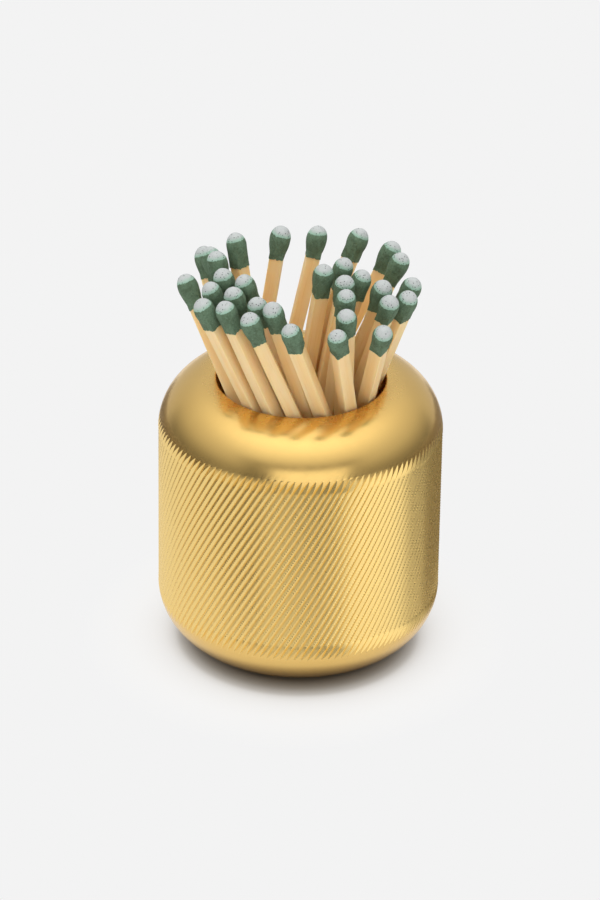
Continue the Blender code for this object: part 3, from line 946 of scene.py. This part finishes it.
@dataclass
class Studio:
    """The pale floor, the soft light and the camera of the photograph."""

    elevation: float = math.radians(29.93)
    distance: float = 842.2 * MM
    target_height: float = 22.28 * MM
    focal_pixels: float = 4670.0
    frame_width: float = 600.0
    frame_height: float = 900.0
    target_x: float = 299.17
    target_y: float = 518.03
    roll: float = math.radians(0.87)
    sensor_mm: float = 36.0
    near_limit: float = 0.01
    far_limit: float = 20.0
    rim_steps: int = 96
    flat_sharp: float = math.radians(30)
    floor_radius: float = 0.42
    floor_colour: Colour = linear(236, 236, 236)
    backdrop: Colour = linear(243, 243, 243)
    backdrop_share: float = 0.8
    # Painted shadow on the floor: its colour near the pot, how far it reaches, how far forward its middle
    # lies and how it fades.
    painted_shadow_colour: Colour = (0.23, 0.21, 0.18)
    painted_shadow_reach: float = 30.0 * MM
    painted_shadow_front: float = 3.0 * MM
    painted_shadow_stops: tuple[Pair, ...] = (
        (0.0, 0.0), (0.58, 0.02), (0.69, 0.22), (0.76, 0.62), (0.83, 0.82), (1.0, 1.0))
    flag_radius: float = 0.09
    flag_height: float = 0.036
    flag_colour: Colour = (0.24, 0.22, 0.20)
    flag_front: float = math.radians(62)
    flag_back: float = math.radians(150)
    card_corners: tuple[Pair, Pair] = ((0.052, -0.05), (0.12, 0.08))
    card_lift: float = 0.5 * MM
    sky_stops: tuple[Pair, ...] = (
        (0.0, 0.15), (0.17, 0.24), (0.34, 0.35), (0.64, 0.52), (0.87, 0.80), (1.0, 1.0))
    sky_top: float = 1.6
    front: Ramp = Ramp(-0.30, -0.55)
    dark_level: float = 0.5
    dark_sides: Ramp = Ramp(0.80, 0.58)
    dark_top: Ramp = Ramp(0.66, 0.46)
    panel_level: float = 1.08
    panel_east: float = 0.12
    panel_sides: Ramp = Ramp(0.56, 0.40)
    panel_top: Ramp = Ramp(0.44, 0.34)
    back: Ramp = Ramp(0.45, 0.75, 0.0, 0.6)
    back_top: Ramp = Ramp(0.85, 0.45)
    soft_fill: float = 0.3
    key_place: tuple[float, float, float] = (-0.35, -0.50, 1.18)
    key_size: float = 0.9
    key_power: float = 3.2

    def place_camera(self) -> None:
        """Place the camera so that the pot stands where the photograph has it."""
        right = Vector((1, 0, 0))
        up = Vector((0, math.sin(self.elevation), math.cos(self.elevation)))
        back = right.cross(up)
        camera_right = right * math.cos(self.roll) + up * math.sin(self.roll)
        camera_up = up * math.cos(self.roll) - right * math.sin(self.roll)
        aim = -back
        aim += camera_right * (self.frame_width / 2 - self.target_x) / self.focal_pixels
        aim += camera_up * (self.target_y - self.frame_height / 2) / self.focal_pixels
        aim.normalize()
        camera_right = (camera_right - aim * camera_right.dot(aim)).normalized()
        camera_up = camera_right.cross(aim)
        data = bpy.data.cameras.new("camera")
        data.sensor_fit = "HORIZONTAL"
        data.sensor_width = self.sensor_mm
        data.lens = self.focal_pixels / self.frame_width * self.sensor_mm
        data.clip_start = self.near_limit
        data.clip_end = self.far_limit
        camera = bpy.data.objects.new("camera", data)
        bpy.context.scene.collection.objects.link(camera)
        axes = Matrix((camera_right, camera_up, -aim)).transposed()
        eye = Vector((0, 0, self.target_height)) + back * self.distance
        camera.matrix_world = Matrix.Translation(eye) @ axes.to_4x4()
        bpy.context.scene.camera = camera

    def lay_floor(self) -> None:
        """Lay the pale floor, plain apart from the object's shadow, which a painted shadow deepens around and
        under the pot.
        """
        mesh = bmesh.new()
        bmesh.ops.create_circle(mesh, cap_ends=True, segments=self.rim_steps, radius=self.floor_radius)
        material, sketch, shader = new_material("pale_floor")
        rays = sketch.add("LightPath").outputs
        from_pot = sketch.add("VectorMath", operation="DISTANCE")
        sketch.feed(from_pot.inputs[0], sketch.add("TexCoord").outputs["Object"])
        from_pot.inputs[1].default_value = (0.0, -self.painted_shadow_front, 0.0)
        away = sketch.math("DIVIDE", from_pot.outputs["Value"], self.painted_shadow_reach)
        # Painted shadow: nearer the pot, the floor's colour darkens towards the painted shadow colour and the
        # plain backdrop fades out.
        clear_of_painted_shadow = sketch.curve(away, self.painted_shadow_stops)
        sketch.feed(shader.inputs["Base Color"],
                    sketch.blend(clear_of_painted_shadow, self.painted_shadow_colour, self.floor_colour))
        shader.inputs["Roughness"].default_value = 1.0
        shader.inputs["Specular IOR Level"].default_value = 0.0
        plain = sketch.add("Emission")
        sketch.feed(plain.inputs["Color"], self.backdrop)
        seen = sketch.math("MAXIMUM", rays["Is Camera Ray"],
                           sketch.math("MAXIMUM", rays["Is Glossy Ray"], rays["Is Transmission Ray"]))
        share = sketch.math("MULTIPLY", clear_of_painted_shadow, self.backdrop_share)
        blend = sketch.add("MixShader")
        sketch.feed(blend.inputs[0], sketch.math("MULTIPLY", seen, share))
        sketch.feed(blend.inputs[1], shader.outputs[0])
        sketch.feed(blend.inputs[2], plain.outputs[0])
        sketch.feed(sketch.output.inputs["Surface"], blend.outputs[0])
        finish_piece("floor", mesh, material, self.flat_sharp)

    def set_cards(self) -> None:
        """Set grey cards at both sides and one on the floor, which only the polished brass picks up."""
        mesh = bmesh.new()
        bmesh.ops.create_circle(mesh, segments=self.rim_steps, radius=self.flag_radius)
        rim = bmesh.ops.extrude_edge_only(mesh, edges=mesh.edges[:])["geom"]
        bmesh.ops.translate(mesh, vec=(0, 0, self.flag_height),
                            verts=[item for item in rim if isinstance(item, bmesh.types.BMVert)])
        gaps = []
        for face in mesh.faces:
            middle = face.calc_center_median()
            turn = abs(math.atan2(middle.x, -middle.y))
            if not self.flag_front < turn < self.flag_back:
                gaps.append(face)
        bmesh.ops.delete(mesh, geom=gaps, context="FACES")
        (west, south), (east, north) = self.card_corners
        corners = [(west, south), (east, south), (east, north), (west, north)]
        mesh.faces.new([mesh.verts.new((*corner, self.card_lift)) for corner in corners])
        material, sketch, shader = new_material("grey_card")
        sketch.feed(shader.inputs["Base Color"], self.flag_colour)
        shader.inputs["Roughness"].default_value = 1.0
        cards = finish_piece("studio_cards", mesh, material, self.flat_sharp)
        cards.visible_camera = False
        cards.visible_diffuse = False
        cards.visible_transmission = False
        cards.visible_shadow = False

    def light_world(self) -> None:
        """Surround the object with a soft studio: bright overhead, dim low down, a panel in front."""
        world = bpy.data.worlds.new("studio")
        bpy.context.scene.world = world
        world.use_nodes = True
        sketch = NodeSketch(world.node_tree)
        axes = sketch.add("SeparateXYZ")
        sketch.feed(axes.inputs[0], sketch.add("TexCoord").outputs["Generated"])
        east, north, height = axes.outputs
        sky = sketch.curve(height, self.sky_stops)
        sky = sketch.math("MULTIPLY", sky, self.sky_top)
        in_front = sketch.spread(north, self.front)
        sideways = sketch.math("ABSOLUTE", east)
        dark = sketch.math("MULTIPLY", sketch.spread(sideways, self.dark_sides),
                           sketch.spread(height, self.dark_top))
        dark = sketch.math("MULTIPLY", sketch.math("MULTIPLY", dark, in_front), self.dark_level)
        sky = sketch.math("MULTIPLY", sky, sketch.math("SUBTRACT", 1.0, dark))
        off_panel = sketch.math("ABSOLUTE", sketch.math("SUBTRACT", east, self.panel_east))
        panel = sketch.math("MULTIPLY", sketch.spread(off_panel, self.panel_sides),
                            sketch.spread(height, self.panel_top))
        panel = sketch.math("MULTIPLY", sketch.math("MULTIPLY", panel, in_front), self.panel_level)
        behind = sketch.math("MULTIPLY", sketch.spread(north, self.back),
                             sketch.spread(height, self.back_top))
        studio = sketch.math("MAXIMUM", sketch.math("ADD", sky, panel), behind)
        rays = sketch.add("LightPath").outputs
        fill = sketch.math("MULTIPLY_ADD", rays["Is Diffuse Ray"], self.soft_fill, 1.0)
        studio = sketch.math("MULTIPLY", studio, fill)
        background = sketch.add("Background")
        sketch.feed(background.inputs["Color"], (1.0, 1.0, 1.0))
        level = sketch.blend(rays["Is Camera Ray"], studio, self.backdrop[0], MixKind.FLOAT)
        sketch.feed(background.inputs["Strength"], level)
        output = sketch.add("OutputWorld")
        sketch.feed(output.inputs["Surface"], background.outputs[0])

    def hang_key(self) -> None:
        """Hang the large soft lamp that lights the wood and the floor from the front."""
        data = bpy.data.lights.new("soft_key", "AREA")
        data.shape = "SQUARE"
        data.size = self.key_size
        data.energy = self.key_power
        lamp = bpy.data.objects.new("soft_key", data)
        bpy.context.scene.collection.objects.link(lamp)
        place = Vector(self.key_place)
        lamp.location = place
        lamp.rotation_euler = (Vector((0, 0, self.target_height)) - place).to_track_quat("-Z", "Y").to_euler()
        lamp.visible_glossy = False

    def build(self) -> None:
        """Set the stage."""
        bpy.context.scene.view_settings.view_transform = "Standard"
        self.lay_floor()
        self.set_cards()
        self.light_world()
        self.hang_key()
        self.place_camera()


def main() -> None:
    """Build and dress the object and set the stage."""
    logging.basicConfig(level=logging.INFO, format="%(name)s %(message)s")
    pot = Pot().build()
    LOG.info("pot finished as %s", pot.name)
    matches = Bunch().build()
    LOG.info("bunch finished with %d matches", len(matches))
    Studio().build()


if __name__ == "__main__":
    main()
